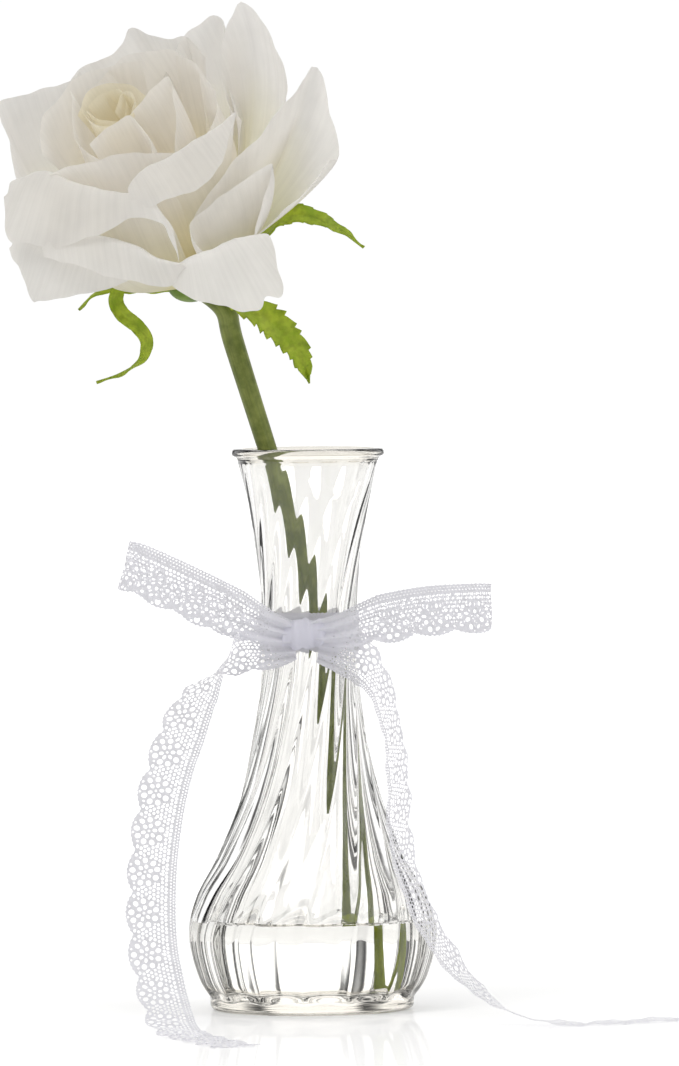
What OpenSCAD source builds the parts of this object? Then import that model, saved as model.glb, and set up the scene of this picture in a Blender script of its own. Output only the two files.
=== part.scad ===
// Glass bud vase with swirled flutes, dressed with a lace bow and one rose.
// Millimetres, +Z up. The origin is the centre of the foot's flat underside,
// and the front of the bow faces -Y.

/* [Vase] */
// Height from the foot to the top of the rim
vase_h = 150; // [120:1:200]
// Diameter over the rim bead
rim_d = 40.8; // [34:0.2:56]
// Thickness of the rim bead
rim_t = 2.2; // [1.6:0.1:4]
// Outer diameter of the waist
waist_d = 25.6; // [21:0.2:32]
// Share of the height at which the waist sits
waist_level = 0.62; // [0.56:0.01:0.7]
// Outer diameter of the bulb over the flute ridges
bulb_d = 67; // [54:0.5:90]
// Height of the bulb's widest ring
bulb_z = 20; // [17:0.5:28]
// Diameter of the foot
foot_d = 54.4; // [44:0.5:70]
// Height of the foot ring
foot_h = 3.6; // [3:0.1:6]
// Thickness of the glass wall
wall = 2.3; // [1.6:0.1:3.2]
// Thickness of the glass under the water
floor_t = 6; // [5:0.1:9]

/* [Flutes] */
// Number of flutes round the vase
flutes = 15; // [10:1:20]
// Depth of a flute at the bulb
flute_depth = 1; // [0.4:0.1:1.6]
// Turn of the flutes from the bulb to the rim, in degrees
swirl = 110; // [0:5:160]

/* [Water] */
// Height of the water's surface
water_level = 24.5; // [14:0.5:30]

/* [Ribbon] */
// Width of the lace ribbon
ribbon_w = 13.5; // [10:0.5:18]
// Thickness of the ribbon as a solid
ribbon_t = 0.6; // [0.4:0.1:1]

/* [Rose] */
// Diameter of the stem
stem_d = 5.8; // [4.5:0.1:7]
// Size of the flower, as a share of its natural size
bloom = 1; // [0.8:0.05:1.1]
// Lean of the flower to the left, in degrees
bloom_lean = 26; // [15:1:32]
// Tilt of the flower to the front, in degrees
bloom_tilt = 30; // [20:1:36]
// Thickness of a petal as a solid
petal_t = 0.3; // [0.2:0.05:0.35]

/* [Hidden] */

$fn = 72;

rim_r = rim_d / 2;
bead_r = rim_t / 2;
waist_r = waist_d / 2;
waist_z = vase_h * waist_level;
bulb_r = bulb_d / 2;
foot_r = foot_d / 2;
steps_per_flute = 5;
body_rings = 33;
clearance = 0.3;

// How far the stem leans in the water, which is also the way the rose lifts out
lift_lean = 10;
lift_dir = [-sin(lift_lean), 0, cos(lift_lean)];
stem_foot_gap = 0.6;
stem_foot_x = 16.5 * bulb_r / 33.5;
stem_r = stem_d / 2;

// ---------------------------------------------------------------- curves

// A smooth curve through a list of points, with s counted in points
function curve_at(pts, s) =
    let(
        last = len(pts) - 1,
        i = min(floor(s), last - 1),
        t = s - i,
        a = pts[max(i - 1, 0)],
        b = pts[i],
        c = pts[i + 1],
        d = pts[min(i + 2, last)]
    )
    0.5 * (2 * b + (c - a) * t + (2 * a - 5 * b + 4 * c - d) * t * t
        + (3 * b - a - 3 * c + d) * t * t * t);

function curve(pts, per_span) =
    [for (k = [0 : (len(pts) - 1) * per_span]) curve_at(pts, k / per_span)];

function unit(v) = v / norm(v);

function tangent(path, k) =
    unit(path[min(k + 1, len(path) - 1)] - path[max(k - 1, 0)]);

// The part of a direction that is square to the path
function square_to(v, t) = unit(v - (v * t) * t);

// Running sum of a list, starting at a given value
function running_sum(v, start) =
    [for (i = 0, s = start; i <= len(v); s = s + (i < len(v) ? v[i] : 0), i = i + 1) s];

// ---------------------------------------------------------------- skins

// Closed skin over rings that all have the same number of points
module skin(rings) {
    n = len(rings[0]);
    last = len(rings) - 1;
    polyhedron(
        points = [for (ring = rings) each ring],
        faces = concat(
            [[for (i = [0 : n - 1]) i]],
            [[for (i = [n - 1 : -1 : 0]) last * n + i]],
            [for (k = [0 : last - 1], i = [0 : n - 1])
                [k * n + i, (k + 1) * n + i, (k + 1) * n + (i + 1) % n]],
            [for (k = [0 : last - 1], i = [0 : n - 1])
                [k * n + i, (k + 1) * n + (i + 1) % n, k * n + (i + 1) % n]]
        ),
        convexity = 8
    );
}

// Direction square to a grid of points at row j, column i
function grid_normal(g, j, i) =
    unit(cross(
        g[j][min(i + 1, len(g[0]) - 1)] - g[j][max(i - 1, 0)],
        g[min(j + 1, len(g) - 1)][i] - g[max(j - 1, 0)][i]
    ));

// Sheet of even thickness on both sides of a grid of points
module thin_sheet(grid, thickness) {
    rows = len(grid);
    cols = len(grid[0]);
    half = thickness / 2;
    back = rows * cols;
    function at(j, i) = j * cols + i;
    polyhedron(
        points = concat(
            [for (j = [0 : rows - 1], i = [0 : cols - 1])
                grid[j][i] + half * grid_normal(grid, j, i)],
            [for (j = [0 : rows - 1], i = [0 : cols - 1])
                grid[j][i] - half * grid_normal(grid, j, i)]
        ),
        faces = concat(
            [for (j = [0 : rows - 2], i = [0 : cols - 2])
                [at(j, i), at(j + 1, i + 1), at(j, i + 1)]],
            [for (j = [0 : rows - 2], i = [0 : cols - 2])
                [at(j, i), at(j + 1, i), at(j + 1, i + 1)]],
            [for (j = [0 : rows - 2], i = [0 : cols - 2])
                back * [1, 1, 1] + [at(j, i), at(j, i + 1), at(j + 1, i + 1)]],
            [for (j = [0 : rows - 2], i = [0 : cols - 2])
                back * [1, 1, 1] + [at(j, i), at(j + 1, i + 1), at(j + 1, i)]],
            [for (i = [0 : cols - 2]) each [
                [at(0, i), at(0, i + 1), back + at(0, i + 1)],
                [at(0, i), back + at(0, i + 1), back + at(0, i)],
                [at(rows - 1, i), back + at(rows - 1, i + 1), at(rows - 1, i + 1)],
                [at(rows - 1, i), back + at(rows - 1, i), back + at(rows - 1, i + 1)]
            ]],
            [for (j = [0 : rows - 2]) each [
                [at(j, 0), back + at(j + 1, 0), at(j + 1, 0)],
                [at(j, 0), back + at(j, 0), back + at(j + 1, 0)],
                [at(j, cols - 1), at(j + 1, cols - 1), back + at(j + 1, cols - 1)],
                [at(j, cols - 1), back + at(j + 1, cols - 1), back + at(j, cols - 1)]
            ]]
        ),
        convexity = 8
    );
}

// Round tube along a path
module tube(path, radii, sides) {
    skin([for (k = [0 : len(path) - 1])
        let(t = tangent(path, k), u = square_to([0, 1, 0], t), v = cross(t, u))
        [for (a = [0 : sides - 1])
            path[k] + radii[k] * (cos(360 * a / sides) * u + sin(360 * a / sides) * v)]
    ]);
}

// Flat band along a path: across gives the way its width lies at each point,
// and widths gives half its width there
module band(path, across, widths, thickness) {
    thin_sheet(
        [for (k = [0 : len(path) - 1])
            let(d = square_to(across[k], tangent(path, k)) * widths[k])
            [path[k] - d, path[k] + d]],
        thickness
    );
}

// ---------------------------------------------------------------- vase

// Outline of the outside over the flute ridges, from the foot to the rim
neck_top_z = vase_h - bead_r;
shoulder = waist_z - bulb_z;
outline = [
    [foot_r - 0.4, foot_h - 1],
    [foot_r + (bulb_r - foot_r) * 0.6, bulb_z * 0.45],
    [bulb_r, bulb_z],
    [waist_r + (bulb_r - waist_r) * 0.87, bulb_z + shoulder * 0.14],
    [waist_r + (bulb_r - waist_r) * 0.57, bulb_z + shoulder * 0.3],
    [waist_r + (bulb_r - waist_r) * 0.28, bulb_z + shoulder * 0.52],
    [waist_r + (bulb_r - waist_r) * 0.1, bulb_z + shoulder * 0.76],
    [waist_r, waist_z],
    [waist_r + (rim_r - waist_r) * 0.04, waist_z + (vase_h - waist_z) * 0.34],
    [waist_r + (rim_r - waist_r) * 0.3, waist_z + (vase_h - waist_z) * 0.64],
    [waist_r + (rim_r - waist_r) * 0.66, waist_z + (vase_h - waist_z) * 0.87],
    [rim_r - bead_r, neck_top_z]
];
outline_end = len(outline) - 1;

function outline_point(share) = curve_at(outline, share * outline_end);

// Flutes start square at the foot, are deepest at the bulb and fade at the neck
function flute_share(z) =
    min(1, max(0, (z - foot_h) / (bulb_z * 0.25)))
    * (1 - 0.8 * max(0, (z - waist_z) / (vase_h - waist_z)));
function flute_turn(z) =
    swirl * pow(max(0, z - bulb_z) / (vase_h - bulb_z), 1.25);
function flute_cut(r, z, a) =
    flute_depth * flute_share(z) * sqrt(r / bulb_r) * abs(sin(flutes * a / 2));

module fluted_body() {
    count = flutes * steps_per_flute;
    skin([for (k = [0 : body_rings])
        let(p = outline_point(k / body_rings))
        [for (i = [0 : count - 1])
            let(a = 360 * i / count, turn = flute_turn(p[1]), r = p[0] - flute_cut(p[0], p[1], a))
            [r * cos(a + turn - 90), r * sin(a + turn - 90), p[1]]]
    ]);
}

// Inside of the glass: the outline moved in by the wall, from the floor up
function inner_radius(p) = p[0] - wall - flute_depth * 0.4 * flute_share(p[1]);
inner_outline = [for (k = [0 : body_rings])
    let(p = outline_point(k / body_rings))
    if (p[1] > floor_t + 3) [inner_radius(p), p[1]]];
inner_floor_r = inner_outline[0][0] - 3;

module inside(top) {
    rotate_extrude()
        polygon(concat(
            [[0, floor_t]],
            [[inner_floor_r, floor_t]],
            [[inner_outline[0][0] - 0.8, floor_t + 1]],
            [for (p = inner_outline) if (p[1] < top) p],
            [[inside_radius_at(top), top]],
            [[0, top]]
        ));
}

// Radius of the inside at a height
function inside_radius_at(z) = lookup(z, [for (p = inner_outline) [p[1], p[0]]]);

module foot_ring() {
    edge = 1.2;
    rotate_extrude()
        polygon([
            [0, 0],
            [foot_r - edge * 1.6, 0],
            [foot_r - edge * 0.6, edge * 0.35],
            [foot_r, edge],
            [foot_r, foot_h - edge],
            [foot_r - edge * 0.7, foot_h - edge * 0.2],
            [foot_r - edge * 2, foot_h],
            [0, foot_h]
        ]);
}

module rim_bead() {
    translate([0, 0, vase_h - bead_r])
        rotate_extrude()
            translate([rim_r - bead_r, 0])
                circle(bead_r, $fn = 32);
}

module glass_vase() {
    color("lightcyan", 0.5)
        difference() {
            union() {
                fluted_body();
                foot_ring();
                rim_bead();
            }
            inside(vase_h + 1);
        }
}

// The water leaves a channel that the stem lifts out through
module water() {
    color("azure", 0.5)
        difference() {
            inside(water_level);
            translate(stem_foot - lift_dir * stem_foot_gap * 2)
                rotate([0, -lift_lean, 0])
                    cylinder(r = stem_r + clearance, h = water_level * 2);
        }
}

// ---------------------------------------------------------------- ribbon

// The bow is tied round the waist, a little above its narrowest ring
bow_z = waist_z + 8;
bow_r = waist_r + 0.35;
knot_x = -1.3;
knot_y = -bow_r - 4.4;
knot_size = [9.5, 6.6, 9];

module ribbon_wrap() {
    height = ribbon_w * 0.82;
    color("lavender")
        translate([0, 0, bow_z - height / 2])
            rotate_extrude()
                translate([bow_r, 0])
                    square([ribbon_t, height]);
}

module ribbon_knot() {
    color("lavender")
        translate([knot_x, knot_y, bow_z])
            resize(knot_size)
                sphere(r = 5, $fn = 24);
}

// Points are steps from the knot's middle: right, back and up
left_loop_path = [
    [-3, -1.2, 0.2], [-12, -3, 2.2], [-23, -5.4, 7.4], [-35, -5.6, 13], [-45.5, -2.6, 17.8],
    [-47.6, 0.8, 18.6], [-43.5, 3.4, 17.4], [-31, 5, 11.6], [-19, 4.6, 5.6], [-10, 2.8, 1.6], [-3, 1.4, 0.2]
];
left_loop_across = [
    [0.1, 0, 1], [0.2, 0, 1], [0.42, 0, 1], [0.42, 0, 1], [0.3, 0, 1],
    [0.25, 0, 1], [0.3, 0, 1], [0.42, 0, 1], [0.42, 0, 1], [0.2, 0, 1], [0.1, 0, 1]
];
right_loop_path = [
    [2, -1.2, 0], [11, -3, 1.2], [21, -5.2, 4], [32, -5.4, 6], [44, -3.4, 6.6],
    [49.8, 0.2, 6.4], [45, 3.6, 6.2], [33, 5.2, 5.4], [21, 4.6, 3.4], [11, 2.8, 1], [2, 1.4, 0]
];
right_loop_across = [
    [0, 0, 1], [-0.15, 0, 1], [-0.25, 0, 1], [-0.1, 0, 1], [0.03, 0, 1],
    [0.05, 0, 1], [0.03, 0, 1], [-0.1, 0, 1], [-0.25, 0, 1], [-0.15, 0, 1], [0, 0, 1]
];

// The knot gathers the ribbon, which opens to its full width two points further
ribbon_rows = 2;
gather = 0.45;
function gathered(steps_from_knot) =
    ribbon_w / 2 * (gather + (1 - gather) * min(1, steps_from_knot / (ribbon_rows * 2)));

module loop(path, across) {
    smooth = curve(path, ribbon_rows);
    last = len(smooth) - 1;
    color("lavender")
        translate([knot_x, knot_y, bow_z])
            band(
                smooth,
                curve(across, ribbon_rows),
                [for (k = [0 : last]) gathered(min(k, last - k))],
                ribbon_t
            );
}

module ribbon_left_loop() {
    loop(left_loop_path, left_loop_across);
}

module ribbon_right_loop() {
    loop(right_loop_path, right_loop_across);
}

// Tails fall from the knot to the table. Each point is a step right, a step back
// from the knot and a share of the knot's height. The last stretch lies flat.
on_table = ribbon_t / 2 + 0.1;
left_tail_path = [
    [-3.5, 0.1, 0.955], [-12, -0.6, 0.95], [-19.5, -2.6, 0.945], [-25, -7, 0.905],
    [-30, -12, 0.835], [-34.5, -18, 0.735], [-38.5, -24.5, 0.615], [-41, -31.5, 0.475],
    [-42, -38.5, 0.335], [-41.5, -44.5, 0.2], [-39, -51.5, 0.085], [-36, -62.5, 0.012],
    [-31, -79.5, 0], [-25, -97.5, 0], [-19, -114.5, 0]
];
left_tail_across = [
    [0, 0, 1], [0.1, 0, 1], [0.4, -0.3, 1], [1, -0.6, 0.8],
    [1, -0.3, 0.3], [1, 0, 0.1], [1, 0, 0], [1, 0.1, 0],
    [1, 0, 0], [1, 0, 0], [1, 0.1, 0], [1, 0.2, 0],
    [1, 0.3, 0], [1, 0.3, 0], [1, 0.3, 0]
];
right_tail_path = [
    [2.5, 0.1, 0.955], [9, -0.6, 0.94], [15.5, -3.5, 0.915], [19.5, -8, 0.845],
    [22, -13.5, 0.74], [23.3, -20.5, 0.62], [23.6, -27.5, 0.495], [26, -33.5, 0.375],
    [31, -38.5, 0.255], [38.5, -43.5, 0.145], [47, -46.5, 0.065], [57, -48.5, 0.015],
    [70, -46.5, 0], [85, -39.5, 0], [101, -29.5, 0]
];
right_tail_across = [
    [0, 0, 1], [0.2, 0, 1], [0.5, -0.3, 1], [0.8, -0.7, 0.5],
    [0.6, -0.9, 0.1], [0.5, -1, 0], [0.5, -1, 0], [0.5, -1, 0.1],
    [0.5, -1, 0.2], [0.4, -1, 0.2], [0.2, -1, 0.1], [0.1, -1, 0],
    [-0.1, -1, 0], [-0.3, -1, 0], [-0.4, -1, 0]
];

module tail(path, across) {
    drop = bow_z - on_table;
    smooth = curve(
        [for (p = path) [p[0], knot_y + p[1], on_table + p[2] * drop]],
        ribbon_rows
    );
    color("lavender")
        band(
            smooth,
            curve(across, ribbon_rows),
            [for (k = [0 : len(smooth) - 1]) gathered(k)],
            ribbon_t
        );
}

module ribbon_left_tail() {
    tail(left_tail_path, left_tail_across);
}

module ribbon_right_tail() {
    tail(right_tail_path, right_tail_across);
}

// ---------------------------------------------------------------- rose

stem_foot = [stem_foot_x, 0, floor_t + stem_foot_gap + stem_r * sin(lift_lean)];
stem_wet = 24;
stem_wet_end = stem_foot + lift_dir * stem_wet;
stem_waist = [waist_r * 0.36, -0.5, waist_z];
flower_base = [-31, -6, vase_h + 49];
flower_axis = [
    -sin(bloom_lean) * cos(bloom_tilt),
    -sin(bloom_tilt),
    cos(bloom_lean) * cos(bloom_tilt)
];
hip_r = 7.8;
hip_drop = 15;
stem_top = flower_base - flower_axis * (hip_drop - 2);
stem_path = concat(
    [stem_foot, stem_foot + lift_dir * stem_wet / 2],
    [stem_wet_end],
    [(stem_wet_end + stem_waist) / 2],
    [stem_waist],
    [[-1.8, -1, stem_waist[2] + (vase_h - waist_z) * 0.5]],
    [[-10.8, -1.8, vase_h]],
    [[-19.4, -1.6, vase_h + 28]],
    [stem_top]
);

module rose_stem() {
    path = curve(stem_path, 3);
    color("olivedrab")
        tube(path, [for (p = path) stem_r], 12);
}

// Places a child in the flower's own frame: its axis along +Z
module in_flower() {
    translate(flower_base)
        rotate([0, -bloom_lean, 0])
            rotate([bloom_tilt, 0, 0])
                children();
}

// The hip, with the seat that the petals grow from
module rose_hip() {
    color("olivedrab")
        in_flower()
            scale(bloom)
                rotate_extrude()
                    polygon([
                        [0, -hip_drop],
                        [stem_r + 0.5, -hip_drop],
                        [hip_r * 0.72, -hip_drop + 3],
                        [hip_r, -hip_drop + 6.5],
                        [hip_r + 0.9, -6.9],
                        [hip_r - 0.1, -2.4],
                        [hip_r - 1.6, 0.2],
                        [1.7, 3.4],
                        [0, 3.4]
                    ]);
}

module rose_stamens() {
    color("gold")
        in_flower()
            scale(bloom)
                union() {
                    translate([0, 0, 3])
                        cylinder(r = 0.9, h = 9);
                    translate([0, 0, 12])
                        sphere(r = 1.3);
                }
}

// Sepals grow from under the petals. Points are steps from the flower's base.
sepal_paths = [
    [[8, 7.5, -2.5], [13, 9, 1], [21, 9, 7.5], [29, 8.5, 13.5], [38, 6, 10], [45.5, 4, 4.5]],
    [[8.5, -1, -8.5], [12, -2.5, -12.5], [19, -3, -17], [26.5, -3, -24], [31.5, -3, -32]],
    [[-2, 0.5, -13], [-8.5, -3, -17], [-15.5, -5.5, -17.5], [-18, -6.5, -20], [-14, -6, -23],
        [-11.5, -5, -26.5], [-15, -4, -30], [-25, -3, -33.5]],
    [[-4.5, 6, -9.8], [-13, 8.5, -11], [-21, 8.5, -12], [-29.5, 7, -15]],
    [[0, 11.5, -5], [2, 17, -4], [3, 23, 0], [3, 28, 7]]
];
sepal_across = [
    [[0, 1, 0.2], [0, 1, 0.4], [0, 1, 0.6], [0, 1, 0.8], [0, 1, 0.6], [0, 1, 0.3]],
    [[0, 1, 0.3], [0.2, 1, 0.6], [0.6, 0.6, 0.7], [0.8, 0.3, 0.4], [0.9, 0, 0.3]],
    [[0, 1, 0], [0, 1, 0.1], [0.6, 0.9, 0.2], [1, 0.5, 0], [0.9, 0.6, 0.2],
        [0.6, 0.8, 0], [0.3, 1, 0.4], [0, 1, 0.3]],
    [[0, 1, 0.3], [0, 1, 0.4], [0, 1, 0.6], [0, 1, 0.6]],
    [[1, 0, 0], [1, 0, 0], [1, 0, 0], [1, 0, 0]]
];
sepal_widths = [6, 8.6, 5, 4.2, 5.5];
sepal_t = 0.6;

module sepal(n) {
    rows = 3;
    path = curve(sepal_paths[n - 1], rows) * bloom;
    lie = curve(sepal_across[n - 1], rows);
    last = len(path) - 1;
    color("yellowgreen")
        translate(flower_base)
            thin_sheet(
                [for (k = [0 : last])
                    let(
                        s = k / last,
                        half = bloom * sepal_widths[n - 1] / 2 * (0.12 + 0.88 * pow(sin(180 * min(0.97, 0.2 + 0.8 * s)), 0.7)),
                        d = square_to(lie[k], tangent(path, k)) * half
                    )
                    [path[k] - d, path[k], path[k] + d]],
                sepal_t
            );
}

// Petals are patches of nested cups. Each row of this table is one petal:
// turn about the flower's axis, length, half width, then the angle that the
// petal makes with the axis at its base, middle and tip, and how far its sides
// are cut back from its tip.
heart = 8;
heart_petals = [for (k = [0 : heart - 1])
    [110 + 137.5 * k, 47 + 0.4 * k, 8 + 2.3 * k, 8 + 5 * k, 3 + 1.2 * k, -18 + 1.8 * k, 0.1]];
cup_turns = [85, -40, -150, 15, 170];
cups = len(cup_turns);
cup_petals = [for (k = [0 : cups - 1])
    [cup_turns[k], 52 + 0.8 * k, 25 + 1.5 * k, 49 + 2.2 * k, 12 + 2 * k, -5 + 2.6 * k, 0.12]];
outer_petals = [
    [-78, 66, 30, 60, 21, 6, 0.22],
    [-20, 69, 25, 62, 25, 16, 0.3],
    [-143, 68, 30, 64, 27, 28, 0.18],
    [58, 50, 32, 68, 36, 37, 0.16],
    [150, 60, 34, 71, 34, 35, 0.14],
    [-34, 70, 21, 73, 37, 38, 0.36],
    [112, 42, 28, 77, 48, 46, 0.16],
    [-2, 64, 30, 80, 48, 52, 0.24],
    [30, 46, 20, 84, 60, 64, 0.25],
    [168, 44, 28, 88, 63, 68, 0.25],
    [66, 30, 24, 94, 80, 112, 0.12]
];
petals = concat(heart_petals, cup_petals, outer_petals);

// Where a petal starts: petals sit one outside the other down the hip's seat
function petal_seat(n) =
    n < heart ? [1.8 + 0.6 * n, 3 - 0.35 * n]
    : n < heart + cups ? [6.3 + 0.2 * (n - heart), 0 - 0.45 * (n - heart)]
    : [7.3 + 0.1 * (n - heart - cups), -2.3 - 0.45 * (n - heart - cups)];

petal_rows = 8;
petal_half_cols = 4;
arc_steps = 24;
closest_r = 6;

// Angle to the axis at a share s of the length, through three given angles
function petal_angle(p, s) =
    p[3] * (1 - s) * (1 - 2 * s) + 4 * p[4] * s * (1 - s) + p[5] * s * (2 * s - 1);

// Width at a share v: a narrow claw that opens to the full blade
function blade(v, claw) =
    (claw + (1 - claw) * pow(sin(90 * min(1, v / 0.62)), 1.3))
    * (1 - 0.18 * pow(max(0, (v - 0.62) / 0.38), 2));

module petal(n) {
    p = petals[n - 1];
    seat = petal_seat(n - 1);
    step = p[1] / arc_steps;
    mids = [for (k = [0 : arc_steps - 1]) petal_angle(p, (k + 0.5) / arc_steps)];
    out = running_sum([for (a = mids) step * sin(a)], seat[0]);
    up = running_sum([for (a = mids) step * cos(a)], seat[1]);
    out_of = [for (k = [0 : arc_steps]) [k / arc_steps, out[k]]];
    up_of = [for (k = [0 : arc_steps]) [k / arc_steps, up[k]]];
    claw = n <= heart ? 0.45 : 0.3;
    color(n <= heart ? "cornsilk" : "ivory")
        in_flower()
            scale(bloom)
                thin_sheet(
                    [for (j = [0 : petal_rows])
                        [for (i = [-petal_half_cols : petal_half_cols])
                            let(
                                v = j / petal_rows,
                                u = i / petal_half_cols,
                                s = v * (1 - p[6] * pow(abs(u), 1.7)),
                                r = lookup(s, out_of),
                                wrap = 57.3 * u * p[2] * blade(v, claw) / max(r, closest_r),
                                a = p[0] + max(-150, min(150, wrap))
                            )
                            [r * cos(a), -r * sin(a), lookup(s, up_of)]]],
                    petal_t
                );
}

glass_vase();
water();
ribbon_wrap();
ribbon_knot();
ribbon_left_loop();
ribbon_right_loop();
ribbon_left_tail();
ribbon_right_tail();
rose_stem();
rose_hip();
rose_stamens();
sepal(1);  // sepal_1
sepal(2);  // sepal_2
sepal(3);  // sepal_3
sepal(4);  // sepal_4
sepal(5);  // sepal_5
petal(1);  // petal_01
petal(2);  // petal_02
petal(3);  // petal_03
petal(4);  // petal_04
petal(5);  // petal_05
petal(6);  // petal_06
petal(7);  // petal_07
petal(8);  // petal_08
petal(9);  // petal_09
petal(10);  // petal_10
petal(11);  // petal_11
petal(12);  // petal_12
petal(13);  // petal_13
petal(14);  // petal_14
petal(15);  // petal_15
petal(16);  // petal_16
petal(17);  // petal_17
petal(18);  // petal_18
petal(19);  // petal_19
petal(20);  // petal_20
petal(21);  // petal_21
petal(22);  // petal_22
petal(23);  // petal_23
petal(24);  // petal_24
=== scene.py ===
"""Looks for the glass bud vase with swirled flutes, its lace bow and its rose."""
import math

import bpy
import numpy as np
from mathutils import Matrix, Vector


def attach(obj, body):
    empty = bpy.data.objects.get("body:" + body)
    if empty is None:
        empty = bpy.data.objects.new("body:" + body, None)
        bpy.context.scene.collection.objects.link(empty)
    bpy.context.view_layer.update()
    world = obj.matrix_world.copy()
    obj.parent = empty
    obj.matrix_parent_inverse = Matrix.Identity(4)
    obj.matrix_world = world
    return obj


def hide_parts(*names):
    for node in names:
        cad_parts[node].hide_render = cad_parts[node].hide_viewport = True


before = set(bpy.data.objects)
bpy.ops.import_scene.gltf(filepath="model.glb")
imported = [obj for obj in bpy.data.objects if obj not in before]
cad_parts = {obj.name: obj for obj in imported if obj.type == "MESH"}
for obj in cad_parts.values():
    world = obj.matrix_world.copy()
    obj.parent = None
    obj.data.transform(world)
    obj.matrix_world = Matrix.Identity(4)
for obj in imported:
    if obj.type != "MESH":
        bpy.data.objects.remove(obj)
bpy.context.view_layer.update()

# Shapes are in millimetres, and mesh_object turns them into metres. Camera and lights are in metres.
MM = 0.001
VASE_H = 150.0
WATER = 24.5
rad = math.radians


# ---------------------------------------------------------------- camera

EYE = Vector((0.0083, -3.0, 0.2260))
AIM = Vector((0.0083, 0.0, 0.1272))
VIEW_HEIGHT = 0.2846
ROLL = -0.46


def add_camera():
    data = bpy.data.cameras.new("camera")
    cam = bpy.data.objects.new("camera", data)
    bpy.context.scene.collection.objects.link(cam)
    look = (AIM - EYE).to_track_quat("-Z", "Y").to_matrix().to_4x4()
    cam.matrix_world = Matrix.Translation(EYE) @ look @ Matrix.Rotation(rad(ROLL), 4, "Z")
    data.sensor_fit = "VERTICAL"
    data.angle = 2 * math.atan(VIEW_HEIGHT / 2 / (AIM - EYE).length)
    data.clip_start = 0.1
    data.clip_end = 50
    bpy.context.scene.camera = cam


add_camera()


# ---------------------------------------------------------------- curves and meshes

def spline(points, per_span):
    """Catmull-Rom curve through points, with per_span steps in each span."""
    p = np.asarray(points, float)
    last = len(p) - 1
    s = np.linspace(0, last, last * per_span + 1)
    i = np.minimum(s.astype(int), last - 1)
    t = (s - i)[:, None]
    a, b, c, d = p[np.maximum(i - 1, 0)], p[i], p[i + 1], p[np.minimum(i + 2, last)]
    return 0.5 * (2 * b + (c - a) * t + (2 * a - 5 * b + 4 * c - d) * t * t
                  + (3 * b - a - 3 * c + d) * t ** 3)


def unit(v):
    n = np.linalg.norm(v, axis=-1, keepdims=True)
    return v / np.maximum(n, 1e-12)


def arc_length(path):
    return np.concatenate([[0], np.cumsum(np.linalg.norm(np.diff(path, axis=0), axis=1))])


def at_length(s, where, values):
    return np.stack([np.interp(s, where, values[:, k]) for k in range(values.shape[1])], axis=-1)


def smooth_step(x):
    x = np.clip(x, 0, 1)
    return x * x * (3 - 2 * x)


def mesh_object(name, verts, faces, uv=None):
    """Mesh in metres from vertices in millimetres. uv holds one pair for each vertex."""
    me = bpy.data.meshes.new(name)
    me.from_pydata((np.asarray(verts, float) * MM).tolist(), [], [list(f) for f in faces])
    me.polygons.foreach_set("use_smooth", [True] * len(me.polygons))
    if uv is not None:
        loops = np.zeros(len(me.loops), np.int32)
        me.loops.foreach_get("vertex_index", loops)
        layer = me.uv_layers.new(name="uv")
        layer.data.foreach_set("uv", np.asarray(uv, np.float32)[loops].ravel())
    me.update()
    obj = bpy.data.objects.new(name, me)
    bpy.context.scene.collection.objects.link(obj)
    return obj


def grid_faces(rows, cols, wrap=False):
    j, i = np.meshgrid(np.arange(rows - 1), np.arange(cols if wrap else cols - 1), indexing="ij")
    n = (i + 1) % cols
    low, high = j * cols, (j + 1) * cols
    return np.stack([low + i, low + n, high + n, high + i], axis=-1).reshape(-1, 4)


# ---------------------------------------------------------------- materials

class Shade:
    """A node material, built one node at a time."""

    def __init__(self, name, surface="ShaderNodeBsdfPrincipled"):
        self.mat = bpy.data.materials.new(name)
        self.mat.use_nodes = True
        self.tree = self.mat.node_tree
        self.tree.nodes.clear()
        self.out = self.add("ShaderNodeOutputMaterial")
        self.main = self.add(surface)
        self.link(self.main, self.out, "Surface")

    def add(self, kind, **values):
        node = self.tree.nodes.new(kind)
        for key, value in values.items():
            if hasattr(node, key):
                setattr(node, key, value)
        return node

    def set(self, node, **values):
        for key, value in values.items():
            node.inputs[key.replace("_", " ")].default_value = value
        return node

    def link(self, a, b, socket, out=0):
        self.tree.links.new(a.outputs[out], b.inputs[socket])

    def ramp(self, source, stops, out=0, ease="EASE"):
        node = self.add("ShaderNodeValToRGB")
        node.color_ramp.interpolation = ease
        e = node.color_ramp.elements
        while len(e) < len(stops):
            e.new(0.5)
        for k, (pos, color) in enumerate(stops):
            e[k].position = pos
            e[k].color = color if len(color) == 4 else (*color, 1)
        self.link(source, node, "Fac", out)
        return node

    def bump(self, height, strength, distance, target=None, chain=None):
        node = self.add("ShaderNodeBump")
        node.inputs["Strength"].default_value = strength
        node.inputs["Distance"].default_value = distance
        self.link(height, node, "Height")
        if chain is not None:
            self.link(chain, node, "Normal")
        if target is not None:
            self.link(node, target, "Normal")
        return node

    def times(self, a, b):
        """The product of two colours, each an output socket."""
        node = self.add("ShaderNodeMix", data_type="RGBA", blend_type="MULTIPLY")
        node.inputs[0].default_value = 1.0
        self.tree.links.new(a, node.inputs[6])
        self.tree.links.new(b, node.inputs[7])
        return node.outputs[2]

    def lit_through(self, colour, share):
        """Lets that share of the light pass through the surface, in that colour."""
        through = self.add("ShaderNodeBsdfTranslucent")
        self.tree.links.new(colour, through.inputs["Color"])
        both = self.add("ShaderNodeMixShader")
        both.inputs[0].default_value = share
        self.tree.links.new(self.main.outputs[0], both.inputs[1])
        self.tree.links.new(through.outputs[0], both.inputs[2])
        self.tree.links.new(both.outputs[0], self.out.inputs["Surface"])


def grey(v):
    return (v, v, v, 1)


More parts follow.
